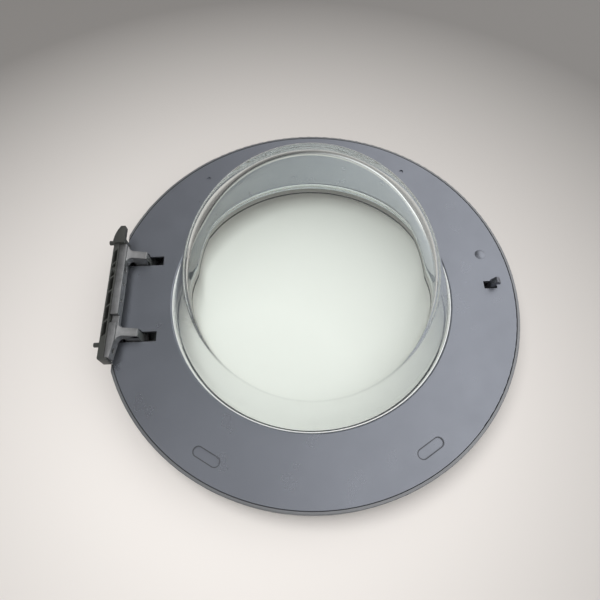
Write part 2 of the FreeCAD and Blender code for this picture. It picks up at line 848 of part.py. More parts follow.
def cover_outline():
    """Plan of the strip behind the bar, which wraps both of the bar's ends."""
    right = -bar_back
    near = -(s.bar_near_end + s.cover_near_overlap)
    near_right = right + s.cover_near_wrap
    far = s.bar_far_end + s.cover_end
    return [
        (near_right, near),
        (near_right, -s.bar_near_end),
        (right, -s.bar_near_end),
        (right, s.bar_far_end),
        (leaf_right, s.bar_far_end),
        (leaf_right, far),
        (cover_back, far),
        (cover_back, near + s.cover_near_round),
        (cover_back + s.cover_near_round, near, s.cover_near_round, 1),
    ]


def cover_cells():
    """Hollows along the strip, with slanting ribs left between them."""
    left = cover_back + s.cover_rib_wall
    right = -bar_back - s.cover_rib_wall
    slant = right - left
    rib = s.cover_rib_wall * math.sqrt(2)
    cells = []
    for index in range(int(s.cover_cell_count.value)):
        start = (index - s.cover_cell_count.value / 2) * s.cover_cell_pitch
        end = start + s.cover_cell_pitch - rib
        cells.append([(left, start - slant / 2), (right, start + slant / 2),
                      (right, end + slant / 2), (left, end - slant / 2)])
    return cells


def make_hinge_cover():
    """Plastic spacer strip behind the hinge bar, ribbed inside, with two pegs that find the cabinet."""
    body = new_body("hinge_cover")
    low = bar_low - s.cover_margin_low
    height = s.cover_margin_low + s.bar_height + s.cover_margin_high
    strip = outlines(body, "strip_outline", "XY_Plane", [cover_outline()], low)
    pad(body, "strip", strip, height)
    leaf_low = low + height + s.cover_leaf_rise - s.cover_leaf_thickness
    leaf = outlines(body, "leaf_outline", "XY_Plane", [leaf_outline()], leaf_low)
    pad(body, "leaf", leaf, s.cover_leaf_thickness)
    cells = outlines(body, "cell_outline", "XY_Plane", cover_cells(), low + height)
    pocket(body, "cells", cells, s.cover_cell_depth)
    middle = cover_back + s.cover_thickness / 2
    bosses = circles(
        body, "mount_boss_outline", "YZ_Plane", mount_holes, s.mount_hole_radius + s.mount_boss_wall, middle)
    pad(body, "mount_bosses", bosses, s.cover_thickness, "Symmetric")
    peg_level = bar_low + s.peg_above_bar
    pegs = circles(
        body, "peg_outline", "YZ_Plane",
        [(side * s.peg_spacing / 2, peg_level) for side in (-1, 1)], s.peg_radius,
        cover_back + s.cover_rib_wall)
    pad(body, "pegs", pegs, s.peg_length + s.cover_rib_wall, reverse=True)
    plugs = circles(body, "spigot_outline", "YZ_Plane", spigots, s.spigot_radius, -bar_back)
    pad(body, "spigots", plugs, s.spigot_length)
    holes = circles(body, "mount_hole_outline", "YZ_Plane", mount_holes, s.mount_hole_radius, middle)
    pocket(body, "mount_holes", holes, s.cover_thickness, "Symmetric")


def make_hinge_bushes():
    for name, place in arm_places.items():
        bush = sleeve_along_y(
            f"{name}_bush", bush_radius, s.hinge_pin_radius + s.running_gap, 2 * bush_half,
            hinge_pin_x, place - bush_half, pin_level)
        keep(bush, f"hinge_bush_{name}")


def make_hinge_pin():
    """Steel pin with a groove near each end for its retaining clip."""
    body = new_body("hinge_pin")
    bind_base(body, hinge_pin_x, 0, pin_level)
    radius = s.hinge_pin_radius
    groove = radius - s.clip_groove_depth
    groove_outer = clip_inner + s.clip_thickness + s.clip_gap
    end = groove_outer + s.hinge_pin_overhang - s.clip_thickness
    half = [(0, end), (radius, end), (radius, groove_outer), (groove, groove_outer),
            (groove, clip_inner), (radius, clip_inner)]
    mirrored = [(x, -as_size(y)) for x, y in half]
    profile = outlines(body, "pin_profile", "XY_Plane", [mirrored + half[::-1]])
    revolve(body, "pin", profile)


def make_hinge_pin_clips():
    bore = s.hinge_pin_radius - s.clip_groove_depth + s.fixed_gap
    start = clip_inner + s.clip_gap / 2
    places = {"upper": start, "lower": -(start + s.clip_thickness)}
    gather("hinge_pin_clips", [
        sleeve_along_y(f"{name}_clip", s.clip_radius, bore, s.clip_thickness, hinge_pin_x, place, pin_level)
        for name, place in places.items()])


def make_hinge_carrier():
    """Support plate inside the door, with a pair of cheeks for the pin beside each arm."""
    body = new_body("hinge_carrier")
    outer_edge = -(hinge_flat - s.skirt_wall - s.carrier_outer_gap)
    plate = outlines(body, "plate_outline", "XY_Plane", [rectangle(
        outer_edge, -carrier_inner_edge, -s.carrier_half_length, s.carrier_half_length)], carrier_under)
    pad(body, "plate", plate, s.carrier_plate)
    left = hinge_pin_x - s.cheek_length / 2
    right = hinge_pin_x + s.cheek_length / 2
    shapes = []
    for place in arm_places.values():
        shapes.append(rectangle(left, right, place + cheek_inner, place + cheek_outer))
        shapes.append(rectangle(left, right, place - cheek_outer, place - cheek_inner))
    cheeks = outlines(body, "cheek_outline", "XY_Plane", shapes, carrier_top)
    pad(body, "cheeks", cheeks, ring_under - s.cheek_top_gap - carrier_top)
    bore = circles(
        body, "pin_bore_outline", "XZ_Plane", [(hinge_pin_x, pin_level)], s.hinge_pin_radius + s.fixed_gap)
    pocket(body, "pin_bore", bore, s.arm_spacing + 4 * cheek_outer, "Symmetric")
    hole_radius = s.screw_radius + s.screw_hole_gap
    holes = circles(body, "screw_hole_outline", "XY_Plane", carrier_screws, hole_radius, carrier_top)
    pocket(body, "screw_holes", holes, s.carrier_plate)


def make_screws(label, spots, top):
    """Pan-headed screws whose heads sit on the given level."""
    pieces = []
    for number, (x, y) in enumerate(spots, start=1):
        shank = primitive("Cylinder", f"{label}_shank_{number}", Radius=s.screw_radius, Height=s.screw_length)
        bind_base(shank, x, y, top - s.screw_length)
        head = primitive(
            "Cylinder", f"{label}_head_{number}", Radius=s.screw_head_radius, Height=s.screw_head_height)
        bind_base(head, x, y, top)
        pieces += [shank, head]
    gather(label, pieces)


def make_latch_carrier():
    """Support for the latch hook: a plate with two cheeks, the farther one leaving room for the spring."""
    body = new_body("latch_carrier")
    half_plate = s.latch_plate_length / 2
    half_cheek = s.latch_cheek_length / 2
    plate = outlines(body, "plate_outline", "XY_Plane", [rectangle(
        hook_pin_x - half_plate, hook_pin_x + half_plate,
        -s.latch_plate_half_width, s.latch_plate_half_width)], latch_under)
    pad(body, "plate", plate, s.latch_plate)
    cheeks = outlines(body, "cheek_outline", "XY_Plane", [
        rectangle(hook_pin_x - half_cheek, hook_pin_x + half_cheek, hook_side, hook_side + s.latch_cheek),
        rectangle(hook_pin_x - half_cheek, hook_pin_x + half_cheek,
                  -(hook_far_side + s.latch_cheek), -hook_far_side)], latch_top)
    pad(body, "cheeks", cheeks, ring_under - s.cheek_top_gap - latch_top)
    bore = circles(
        body, "pin_bore_outline", "XZ_Plane", [(hook_pin_x, hook_pin_level)], s.hook_pin_radius + s.fixed_gap)
    pocket(body, "pin_bore", bore, 4 * (hook_far_side + s.latch_cheek), "Symmetric")
    hole_radius = s.screw_radius + s.screw_hole_gap
    holes = circles(body, "screw_hole_outline", "XY_Plane", latch_screws, hole_radius, latch_top)
    pocket(body, "screw_holes", holes, s.latch_plate)


def make_latch_hook():
    """Hook that stands up through the ring, its nose pointing outwards, and turns inwards on its pin."""
    body = new_body("latch_hook")
    x = hook_pin_x
    eye = s.hook_eye_radius
    top = rim + s.hook_height
    nose_low = top - s.hook_nose_height
    outer = x + s.hook_stem_outer
    profile = outlines(body, "hook_profile", "XZ_Plane", [[
        (x - eye, hook_pin_level),
        (x, hook_pin_level - eye, eye, 1),
        (x + eye, hook_pin_level, eye, 1),
        (outer, hook_pin_level + eye),
        (outer, nose_low),
        (outer + s.hook_nose, nose_low),
        (outer + s.hook_nose, top - s.hook_lead_in),
        (outer, top),
        (outer - s.hook_crown, top),
        (x - s.hook_stem_inner, top - s.hook_back_drop),
        (x - s.hook_stem_inner, hook_pin_level + eye),
    ]])
    pad(body, "hook", profile, s.hook_width, "Symmetric")
    bore = circles(
        body, "eye_bore_outline", "XZ_Plane", [(x, hook_pin_level)], s.hook_pin_radius + s.running_gap)
    pocket(body, "eye_bore", bore, 2 * s.hook_width, "Symmetric")


def make_hook_pin():
    length = hook_far_side + hook_side + 2 * s.latch_cheek
    start = -(hook_far_side + s.latch_cheek)
    rod = rod_along_y("hook_pin_rod", s.hook_pin_radius, length, hook_pin_x, start, hook_pin_level)
    keep(rod, "hook_pin")


def make_hook_spring():
    """Torsion spring round the hook's pin: close coils with a straight leg at each end."""
    wire_radius = s.spring_wire_radius.value
    radius = (s.hook_pin_radius + s.spring_gap + s.spring_wire_radius).value
    pitch = s.spring_pitch.value
    turns = s.spring_turns.value
    coil = Part.makeHelix(pitch, pitch * turns, radius)
    start = FreeCAD.Vector(radius, 0, 0)
    end = FreeCAD.Vector(radius, 0, pitch * turns)
    rise = pitch / (2 * math.pi * radius)
    direction = FreeCAD.Vector(0, 1, rise).normalize()
    leg = direction * s.spring_leg.value
    path = Part.Wire([
        Part.makeLine(start - leg, start), *coil.Edges, Part.makeLine(end, end + leg)])
    section = Part.Wire(Part.makeCircle(wire_radius, start - leg, direction))
    spring = doc.addObject("Part::Feature", "spring")
    spring.Shape = path.makePipeShell([section], True, True)
    offset = hook_far_side - s.spring_pitch
    spring.Placement = FreeCAD.Placement(
        FreeCAD.Vector(hook_pin_x.value, -offset.value, hook_pin_level.value),
        FreeCAD.Rotation(FreeCAD.Vector(1, 0, 0), -90))
    keep(spring, "hook_spring")


def check_and_export():
    """Stop on any failed feature or broken solid, then write one file per sub-part."""
    doc.recompute()
    for item in doc.Objects:
        if "Invalid" in item.State or "Error" in item.State:
            raise RuntimeError(f"{item.Label} failed: {item.State}")
    os.makedirs("parts", exist_ok=True)
    for part in subparts:
        if part.Shape.isNull() or not part.Shape.isValid() or not part.Shape.Solids:
            raise RuntimeError(f"{part.Label} has no valid solid")
        part.Shape.exportStep(f"parts/{part.Label}.step")
        print(f"{part.Label}: {len(part.Shape.Solids)} solids, {part.Shape.Volume / 1000:.1f} cm3")


make_outer_frame()
make_inner_frame()
make_door_glass()
make_hinge_bracket()
make_hinge_bushes()
make_hinge_cover()
make_hinge_pin()
make_hinge_pin_clips()
make_hinge_carrier()
make_screws("hinge_carrier_screws", carrier_screws, carrier_top)
make_latch_carrier()
make_screws("latch_carrier_screws", latch_screws, latch_top)
make_latch_hook()
make_hook_pin()
make_hook_spring()
check_and_export()
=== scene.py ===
"""Porthole door of a front-loading washing machine: finishes, fine detail and a plain stage."""

import bmesh
import bpy
import math
from mathutils import Matrix, Vector


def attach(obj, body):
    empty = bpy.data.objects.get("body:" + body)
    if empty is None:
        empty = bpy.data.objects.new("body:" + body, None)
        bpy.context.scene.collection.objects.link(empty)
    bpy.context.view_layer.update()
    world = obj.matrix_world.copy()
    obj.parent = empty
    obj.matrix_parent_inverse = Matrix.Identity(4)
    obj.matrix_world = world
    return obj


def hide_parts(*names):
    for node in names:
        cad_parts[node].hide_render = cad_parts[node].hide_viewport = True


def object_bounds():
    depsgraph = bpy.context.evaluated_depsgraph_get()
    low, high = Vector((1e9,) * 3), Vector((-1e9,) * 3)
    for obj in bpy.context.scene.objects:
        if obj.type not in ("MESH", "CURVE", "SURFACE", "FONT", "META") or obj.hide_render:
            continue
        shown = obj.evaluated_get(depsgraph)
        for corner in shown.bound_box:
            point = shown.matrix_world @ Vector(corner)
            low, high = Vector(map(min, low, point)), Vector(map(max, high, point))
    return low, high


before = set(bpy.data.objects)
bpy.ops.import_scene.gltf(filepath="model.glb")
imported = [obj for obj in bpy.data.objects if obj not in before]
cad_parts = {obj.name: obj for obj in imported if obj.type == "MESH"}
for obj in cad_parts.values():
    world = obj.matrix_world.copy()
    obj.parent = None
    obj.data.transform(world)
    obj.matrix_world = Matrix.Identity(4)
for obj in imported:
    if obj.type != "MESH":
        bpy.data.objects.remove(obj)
CAD_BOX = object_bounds()

bl_info = {
    "name": "Washing Machine Door",
    "version": (1, 0, 0),
    "blender": (4, 5, 0),
    "location": "View3D > Sidebar > Door",
    "description": "Finishes the porthole door: glass bowl, moulded rings, cast hinge and latch hook",
    "category": "Object",
}

# Mesh limits, and how finely each curve is divided
MERGE_DISTANCE = 0.000002
FLAT_ANGLE = math.radians(1)
SHARP_ANGLE = math.radians(30)
EDGE_STEPS = 2
GROOVE_SHADE_STEPS = 48
BUFFER_STEPS = 64
BUFFER_CUTS = 11
CORNER_STEPS = 10
FOOT_STEPS = 5
WALL_CUTS = 11
CROWN_STEPS = 4

# The span that holds most of a noise's values, and its roughness
NOISE_LOW = 0.3
NOISE_HIGH = 0.7
NOISE_ROUGHNESS = 0.55

# Width over which one paint gives way to another
PAINT_EDGE = 0.0003

# Sockets of the node that mixes two colours
MIX_FACTOR = 0
MIX_FIRST = 6
MIX_SECOND = 7
MIX_RESULT = 2

# Surfaces that more than one piece has
RING_SURFACE = {"roughness": 0.31, "grain": 1100.0, "depth": 0.00006, "metallic": 0.75}
RUBBER_SURFACE = {"roughness": 0.45, "grain": 900.0, "depth": 0.00004}


def colour_property(name, description, default):
    return bpy.props.FloatVectorProperty(
        name=name, description=description, default=default, subtype="COLOR", size=3, min=0, max=1)


def length_property(name, description, default):
    return bpy.props.FloatProperty(
        name=name, description=description, default=default, unit="LENGTH", min=0, precision=5)


def angle_property(name, description, degrees):
    return bpy.props.FloatProperty(
        name=name, description=description, default=math.radians(degrees), subtype="ANGLE")


def number_property(name, description, default):
    return bpy.props.FloatProperty(name=name, description=description, default=default, min=0)


def vector_property(name, description, default, subtype="TRANSLATION"):
    return bpy.props.FloatVectorProperty(
        name=name, description=description, default=default, subtype=subtype, size=3)


class DoorFinishes(bpy.types.PropertyGroup):
    """Colours of the door's materials, how the glass passes light on, and the painted glow that the gasket
    gives off though it is no lamp.
    """

    ring_grey: colour_property("Ring", "Bluish satin grey of the drum-side ring", (0.243, 0.256, 0.291))
    frame_grey: colour_property("Frame", "Neutral grey of the front ring", (0.235, 0.240, 0.250))
    bezel_pale: colour_property("Bezel", "Pale silver of the front ring's bezel", (0.860, 0.863, 0.866))
    # Partly painted highlight: the pale seal also stands in for the highlight on the ring's rounded inner
    # edge; the gasket shares this pale rubber.
    seal_pale: colour_property("Seal", "Pale rubber round the glass", (0.930, 0.930, 0.925))
    # Painted glow: the gasket pieces give off light though they are no lamp, standing in for light carried
    # down the glass wall.
    gasket_glow: colour_property("Gasket glow", "Light from the gasket into the glass", (0.90, 0.97, 1.0))
    glow_strength: number_property("Glow strength", "Strength of the gasket's light", 0.08)
    glass_tint: colour_property("Glass", "Faint green of the pressed glass", (0.956, 0.996, 0.984))
    glass_bend: number_property("Glass bend", "Index of refraction of the glass", 1.31)
    glass_haze: number_property("Glass haze", "Roughness of the glass where it is dullest", 0.025)
    glass_ripple: length_property("Glass ripple", "Depth of the slow ripples in the glass", 0.00002)
    casting_grey: colour_property("Casting", "Bare die-cast hinge", (0.290, 0.290, 0.294))
    cover_dark: colour_property("Cover", "Dark plastic behind the hinge", (0.046, 0.047, 0.043))
    hook_dark: colour_property("Hook", "Dark metal of the latch hook", (0.170, 0.176, 0.200))
    zinc_grey: colour_property("Zinc", "Plated pins, screws and clips", (0.560, 0.560, 0.570))
    bush_cream: colour_property("Bushes", "Natural plastic of the bushes", (0.700, 0.680, 0.610))
    carrier_black: colour_property("Latch carrier", "Black plastic under the ring", (0.025, 0.025, 0.027))


class DoorDetail(bpy.types.PropertyGroup):
    """Sizes of the fine detail."""

    casting_round: length_property("Casting round", "Rounding of the hinge's edges", 0.0007)
    cover_round: length_property("Cover round", "Rounding of the cover's edges", 0.0004)
    hook_round: length_property("Hook round", "Rounding of the hook's edges", 0.0005)
    rim_height: length_property("Rim", "Height of the ring's upper side", 0.040)
    flange_radius: length_property("Flange", "Outer radius of the glass flange", 0.164)
    flange_drop: length_property("Flange drop", "Flange's upper side below the rim", 0.008)
    bowl_radius: length_property("Bowl radius", "Outer radius of the bowl at the rim", 0.1506)
    bowl_taper: number_property("Bowl taper", "Radius lost for each unit of height", 0.37)
    bowl_wall: length_property("Bowl wall", "Thickness of the glass", 0.006)
    bowl_end: length_property("Bowl end", "Height of the bowl's end above the rim, on the axis", 0.095)
    bowl_dome: length_property("Bowl dome", "Radius of the end's dome", 1.2)
    bowl_slant: angle_property("Bowl slant", "Tilt of the bowl's end", 17)
    bowl_corner: length_property("Bowl corner", "Rounding between the wall and the end", 0.020)
    bowl_inner_corner: length_property("Inner corner", "Rounding of the corner's inner side", 0.024)
    bowl_foot: length_property("Bowl foot", "Rounding between the wall and the flange", 0.004)
    bowl_steps: bpy.props.IntProperty(
        name="Bowl steps", description="Facets round the bowl and its rubber rings", default=360, min=24)
    bezel_radius: length_property("Bezel radius", "Where the front ring's bezel begins", 0.1925)
    # The seal is partly a real seal in the gap and partly a painted highlight for the bright line on the
    # ring's rounded inner edge.
    seal_inside: length_property("Seal inside", "Inner radius of the seal round the glass", 0.1513)
    seal_outside: length_property("Seal outside", "Outer radius of the seal round the glass", 0.1522)
    seal_depth: length_property("Seal depth", "Depth of the seal from its crown", 0.0012)
    seal_drop: length_property("Seal drop", "Crown of the seal below the rim", 0.0006)
    seal_round: length_property("Seal round", "Rounding of the seal's upper edges", 0.0003)
    gasket_inside: length_property("Gasket inside", "Inner radius of the gasket under the flange", 0.1535)
    gasket_outside: length_property("Gasket outside", "Outer radius of the gasket under the flange", 0.1638)
    gasket_height: length_property("Gasket height", "Top of the gasket above the seat", 0.0005)
    gasket_gap: length_property("Gasket gap", "Clearance at the seat and at the flange's top", 0.00005)
    gasket_round: length_property("Gasket round", "Rounding of the upper edges of gasket and lip", 0.0002)
    # Painted shade: the dark lip is a black ring standing in for the shade along the edge of the opening.
    lip_inside: length_property("Lip inside", "Inner radius of the dark lip round the opening", 0.1449)
    lip_outside: length_property("Lip outside", "Outer radius of the dark lip round the opening", 0.1462)
    lip_height: length_property("Lip height", "Height of the dark lip above the seat", 0.0004)
    mark_place: length_property("Mark place", "Pad marks' distance from the door's axis", 0.201)
    mark_angle: angle_property("Mark angle", "Pad marks' turn from the near side", 32)
    mark_run: length_property("Mark run", "Half the straight run of a pad mark", 0.0095)
    mark_radius: length_property("Mark radius", "Radius of a pad mark's ends", 0.0055)
    mark_depth: length_property("Mark depth", "Depth of a pad mark", 0.0012)
    # Painted shade: the dark seam stands in for the shade in the groove round a pad mark.
    groove_shade_width: length_property("Seam width", "Width of the dark seam along a pad mark's edge", 0.0010)
    groove_shade_height: length_property("Seam height", "Height of the seam above a pad mark's floor", 0.00108)
    buffer_place: vector_property(
        "Buffer place", "Foot of the buffer in the dimple beside the latch", (0.1937, 0.0384, 0.0385))
    buffer_radius: length_property("Buffer radius", "Radius of the buffer beside the latch", 0.00598)
    buffer_height: length_property("Buffer height", "Height of the buffer's edge", 0.0015)
    buffer_rise: length_property("Buffer rise", "Rise of the buffer's dome above its edge", 0.0020)


class DoorStage(bpy.types.PropertyGroup):
    """Table, room light, lamp and camera."""

    table_colour: colour_property("Table", "Pale table top", (0.930, 0.885, 0.845))
    table_size: length_property("Table size", "Edge of the square table top", 8.0)
    table_gap: length_property("Table gap", "Table top below the door's front face", 0.0004)
    table_roughness: number_property("Table roughness", "Roughness of the table top", 0.55)
    table_gloss: number_property("Table gloss", "Level of the table's reflections", 0.3)
    # Painted shade: the table's colour darkens outwards from the fade centre, standing in for the lamp's
    # light falling off across the table.
    fade_centre: vector_property("Fade centre", "Lightest spot of the table", (-0.06, -0.11, 0.0))
    fade_start: length_property("Fade start", "Where the table starts to darken", 0.11)
    fade_end: length_property("Fade end", "Where the table is darkest", 0.68)
    fade_share: number_property("Fade share", "Share of the table's colour that is left there", 0.24)
    room_light: number_property("Room light", "Strength of the even light of the room", 0.09)
    glow_light: number_property("Glow", "Strength of the soft bright patch on the right", 1.2)
    glow_direction: vector_property(
        "Glow direction", "Where the bright patch lies", (0.75, 0.32, 0.58), "DIRECTION")
    ceiling_light: number_property("Ceiling", "Strength of the soft bright patch over the near side", 0.42)
    ceiling_direction: vector_property(
        "Ceiling direction", "Where the ceiling's patch lies", (-0.05, -0.65, 0.76), "DIRECTION")
    patch_edge: number_property("Patch edge", "Cosine of the angle at which a patch ends", 0.28)
    lamp_power: bpy.props.FloatProperty(
        name="Lamp", description="Broad soft lamp overhead", default=16.5, min=0, unit="POWER")
    lamp_size: length_property("Lamp size", "Diameter of the lamp", 1.0)
    lamp_place: vector_property("Lamp place", "Middle of the lamp", (-0.45, 0.10, 1.85))
    lamp_target: vector_property("Lamp target", "What the lamp points at", (0.0, 0.0, 0.03))
    lens: bpy.props.FloatProperty(
        name="Lens", description="Focal length", default=28.8, min=1, unit="CAMERA")
    sensor_width: bpy.props.FloatProperty(
        name="Sensor", description="Width of the camera's sensor", default=36.0, min=1, unit="CAMERA")
    near_clip: length_property("Near clip", "Nearest distance that the camera sees", 0.01)
    camera_place: vector_property("Camera place", "Where the camera stands", (-0.0121, -0.2346, 0.5127))
    camera_turn: vector_property(
        "Camera turn", "Tilt, roll and heading of the camera",
        (math.radians(25.3942), math.radians(0.9310), math.radians(-1.9601)), "EULER")
    light_bounces: bpy.props.IntProperty(
        name="Bounces", description="Times that light may turn inside the glass", default=32, min=1)


def new_material(name):
    material = bpy.data.materials.new(name)
    material.use_nodes = True
    tree = material.node_tree
    return material, tree, tree.nodes["Principled BSDF"]


def add_node(tree, kind, **values):
    node = tree.nodes.new(kind)
    for key, value in values.items():
        setattr(node, key, value)
    return node


def object_place(tree):
    return add_node(tree, "ShaderNodeTexCoord").outputs["Object"]


def cloud(tree, scale, detail, stretch=None):
    """Noise over the object's own coordinates, in cells per metre."""
    place = object_place(tree)
    if stretch:
        mapping = add_node(tree, "ShaderNodeMapping")
        mapping.inputs["Scale"].default_value = stretch
        tree.links.new(place, mapping.inputs["Vector"])
        place = mapping.outputs["Vector"]
    noise = add_node(tree, "ShaderNodeTexNoise")
    noise.inputs["Scale"].default_value = scale
    noise.inputs["Detail"].default_value = detail
    noise.inputs["Roughness"].default_value = NOISE_ROUGHNESS
    tree.links.new(place, noise.inputs["Vector"])
    return noise.outputs["Fac"]


def from_axis(tree):
    """Distance from the door's axis."""
    flat = add_node(tree, "ShaderNodeVectorMath", operation="MULTIPLY")
    flat.inputs[1].default_value = (1.0, 1.0, 0.0)
    tree.links.new(object_place(tree), flat.inputs[0])
    length = add_node(tree, "ShaderNodeVectorMath", operation="LENGTH")
    tree.links.new(flat.outputs["Vector"], length.inputs[0])
    return length.outputs["Value"]


def ranged(tree, source, low, high, to_low=0.0, to_high=1.0):
    """Map low..high to to_low..to_high and stop at the ends."""
    node = add_node(tree, "ShaderNodeMapRange", clamp=True)
    for name, value in (("From Min", low), ("From Max", high), ("To Min", to_low), ("To Max", to_high)):
        node.inputs[name].default_value = value
    tree.links.new(source, node.inputs["Value"])
    return node.outputs["Result"]


def spread(tree, noise, to_low=0.0, to_high=1.0):
    """Stretch a noise over the range from to_low to to_high."""
    return ranged(tree, noise, NOISE_LOW, NOISE_HIGH, to_low, to_high)


def specks(tree, scale, size):
    """Sparse small dots, 1 inside a dot and 0 elsewhere."""
    cells = add_node(tree, "ShaderNodeTexVoronoi", feature="F1")
    cells.inputs["Scale"].default_value = scale
    tree.links.new(object_place(tree), cells.inputs["Vector"])
    return ranged(tree, cells.outputs["Distance"], size, 0.0)


def tinted(tree, factor, low, high):
    """Colour that runs from low to high with the factor."""
    mix = add_node(tree, "ShaderNodeMix", data_type="RGBA")
    mix.inputs[MIX_FIRST].default_value = (*low, 1)
    mix.inputs[MIX_SECOND].default_value = (*high, 1)
    tree.links.new(factor, mix.inputs[MIX_FACTOR])
    return mix.outputs[MIX_RESULT]


def over(tree, factor, below, colour):
    """A plain colour laid over another one where the factor is 1."""
    mix = add_node(tree, "ShaderNodeMix", data_type="RGBA")
    mix.inputs[MIX_SECOND].default_value = (*colour, 1)
    tree.links.new(factor, mix.inputs[MIX_FACTOR])
    tree.links.new(below, mix.inputs[MIX_FIRST])
    return mix.outputs[MIX_RESULT]


def bumped(tree, height, depth, below=None):
    node = add_node(tree, "ShaderNodeBump")
    node.inputs["Strength"].default_value = 1.0
    node.inputs["Distance"].default_value = depth
    tree.links.new(height, node.inputs["Height"])
    if below:
        tree.links.new(below, node.inputs["Normal"])
    return node.outputs["Normal"]


def shade(colour, factor):
    return tuple(channel * factor for channel in colour)


def moulded_plastic(name, colour, roughness, grain, depth, metallic=0.0, middle=None):
    """Injection-moulded plastic: slow colour drift, fine grain and handled, slightly uneven gloss.

    The middle, if given, is a colour and the radius from the door's axis inside which it is painted.
    """
    material, tree, shader = new_material(name)
    drift = spread(tree, cloud(tree, scale=9.0, detail=4.0))
    body = tinted(tree, drift, shade(colour, 0.95), shade(colour, 1.05))
    if middle:
        paint, reach = middle
        body = over(tree, ranged(tree, from_axis(tree), reach + PAINT_EDGE, reach), body, paint)
    tree.links.new(body, shader.inputs["Base Color"])
    shader.inputs["Metallic"].default_value = metallic
    gloss = spread(tree, cloud(tree, scale=34.0, detail=3.0), roughness - 0.05, roughness + 0.06)
    tree.links.new(gloss, shader.inputs["Roughness"])
    tree.links.new(bumped(tree, cloud(tree, grain, detail=2.0), depth), shader.inputs["Normal"])
    return material


def pressed_glass(name, finishes):
    """Clear pressed glass with slow ripples. Lamps shine through it on to what lies under it."""
    material, tree, shader = new_material(name)
    tint = (*finishes.glass_tint, 1)
    shader.inputs["Base Color"].default_value = tint
    shader.inputs["Transmission Weight"].default_value = 1.0
    shader.inputs["IOR"].default_value = finishes.glass_bend
    haze = ranged(
        tree, cloud(tree, scale=22.0, detail=4.0), low=0.55, high=0.8, to_high=finishes.glass_haze)
    tree.links.new(haze, shader.inputs["Roughness"])
    ripple = bumped(tree, cloud(tree, scale=16.0, detail=1.0), finishes.glass_ripple)
    tree.links.new(ripple, shader.inputs["Normal"])
    clear = add_node(tree, "ShaderNodeBsdfTransparent")
    clear.inputs["Color"].default_value = tint
    path = add_node(tree, "ShaderNodeLightPath")
    mix = add_node(tree, "ShaderNodeMixShader")
    tree.links.new(path.outputs["Is Shadow Ray"], mix.inputs[0])
    tree.links.new(shader.outputs["BSDF"], mix.inputs[1])
    tree.links.new(clear.outputs["BSDF"], mix.inputs[2])
    tree.links.new(mix.outputs["Shader"], tree.nodes["Material Output"].inputs["Surface"])
    return material


def cast_metal(name, colour, roughness):
    """Die-cast metal: mottled skin, small pits painted as dark specks (painted shade, as the pits have no
    depth) and a soft pebbled surface.
    """
    material, tree, shader = new_material(name)
    mottle = spread(tree, cloud(tree, scale=120.0, detail=5.0))
    skin = tinted(tree, mottle, shade(colour, 0.82), shade(colour, 1.12))
    # Painted shade: dark specks stand in for the shade inside small pits that the surface does not model.
    pit_shade = specks(tree, scale=420.0, size=0.16)
    tree.links.new(over(tree, pit_shade, skin, shade(colour, 0.45)), shader.inputs["Base Color"])
    shader.inputs["Metallic"].default_value = 0.85
    gloss = spread(tree, cloud(tree, scale=70.0, detail=4.0), roughness - 0.08, roughness + 0.10)
    tree.links.new(gloss, shader.inputs["Roughness"])
    waves = bumped(tree, cloud(tree, scale=90.0, detail=3.0), depth=0.0004)
    pebbles = bumped(tree, cloud(tree, scale=700.0, detail=3.0), depth=0.00015, below=waves)
    tree.links.new(pebbles, shader.inputs["Normal"])
    return material


def drawn_metal(name, colour, roughness, stretch):
    """Plated steel with fine drawing lines along one axis."""
    material, tree, shader = new_material(name)
    lines = cloud(tree, scale=400.0, detail=3.0, stretch=stretch)
    tone = tinted(tree, spread(tree, lines), shade(colour, 0.88), shade(colour, 1.08))
    tree.links.new(tone, shader.inputs["Base Color"])
    shader.inputs["Metallic"].default_value = 1.0
    gloss = spread(tree, lines, roughness - 0.05, roughness + 0.08)
    tree.links.new(gloss, shader.inputs["Roughness"])
    tree.links.new(bumped(tree, lines, depth=0.00005), shader.inputs["Normal"])
    return material


def dress(node, material):
    """Give a CAD node its finish."""
    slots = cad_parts[node].data.materials
    slots.clear()
    slots.append(material)


def finished_piece(name, shape, material):
    """Turn a bmesh into a piece whose flat faces stay flat and whose curves are smooth."""
    mesh = bpy.data.meshes.new(name)
    shape.to_mesh(mesh)
    shape.free()
    mesh.materials.append(material)
    piece = bpy.data.objects.new(name, mesh)
    bpy.context.scene.collection.objects.link(piece)
    mesh.shade_smooth()
    mesh.set_sharp_from_angle(angle=SHARP_ANGLE)
    return piece


def softened_copy(node, width):
    """Copy of a CAD node's mesh with its sharp edges rounded."""
    shape = bmesh.new()
    shape.from_mesh(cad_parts[node].data)
    bmesh.ops.remove_doubles(shape, verts=shape.verts, dist=MERGE_DISTANCE)
    bmesh.ops.dissolve_limit(
        shape, angle_limit=FLAT_ANGLE, use_dissolve_boundaries=False, verts=shape.verts, edges=shape.edges)
    sharp = [
        edge for edge in shape.edges
        if len(edge.link_faces) == 2 and edge.calc_face_angle(0.0) > SHARP_ANGLE]
    bmesh.ops.bevel(
        shape, geom=sharp, offset=width, offset_type="OFFSET", affect="EDGES", segments=EDGE_STEPS,
        profile=0.5, material=-1, clamp_overlap=False)
    bmesh.ops.recalc_face_normals(shape, faces=shape.faces)
    return shape


def soften_node(node, body, width, material):
    """Show a CAD node with rounded edges, on the node's own body."""
    piece = finished_piece(f"{node}_softened", softened_copy(node, width), material)
    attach(piece, body)
    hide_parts(node)


def new_profile(places, closed=False):
    """New bmesh with a line through the places, and the line's points."""
    shape = bmesh.new()
    spots = [shape.verts.new(place) for place in places]
    if closed:
        shape.edges.new((spots[-1], spots[0]))
    for pair in zip(spots, spots[1:]):
        shape.edges.new(pair)
    return shape, spots


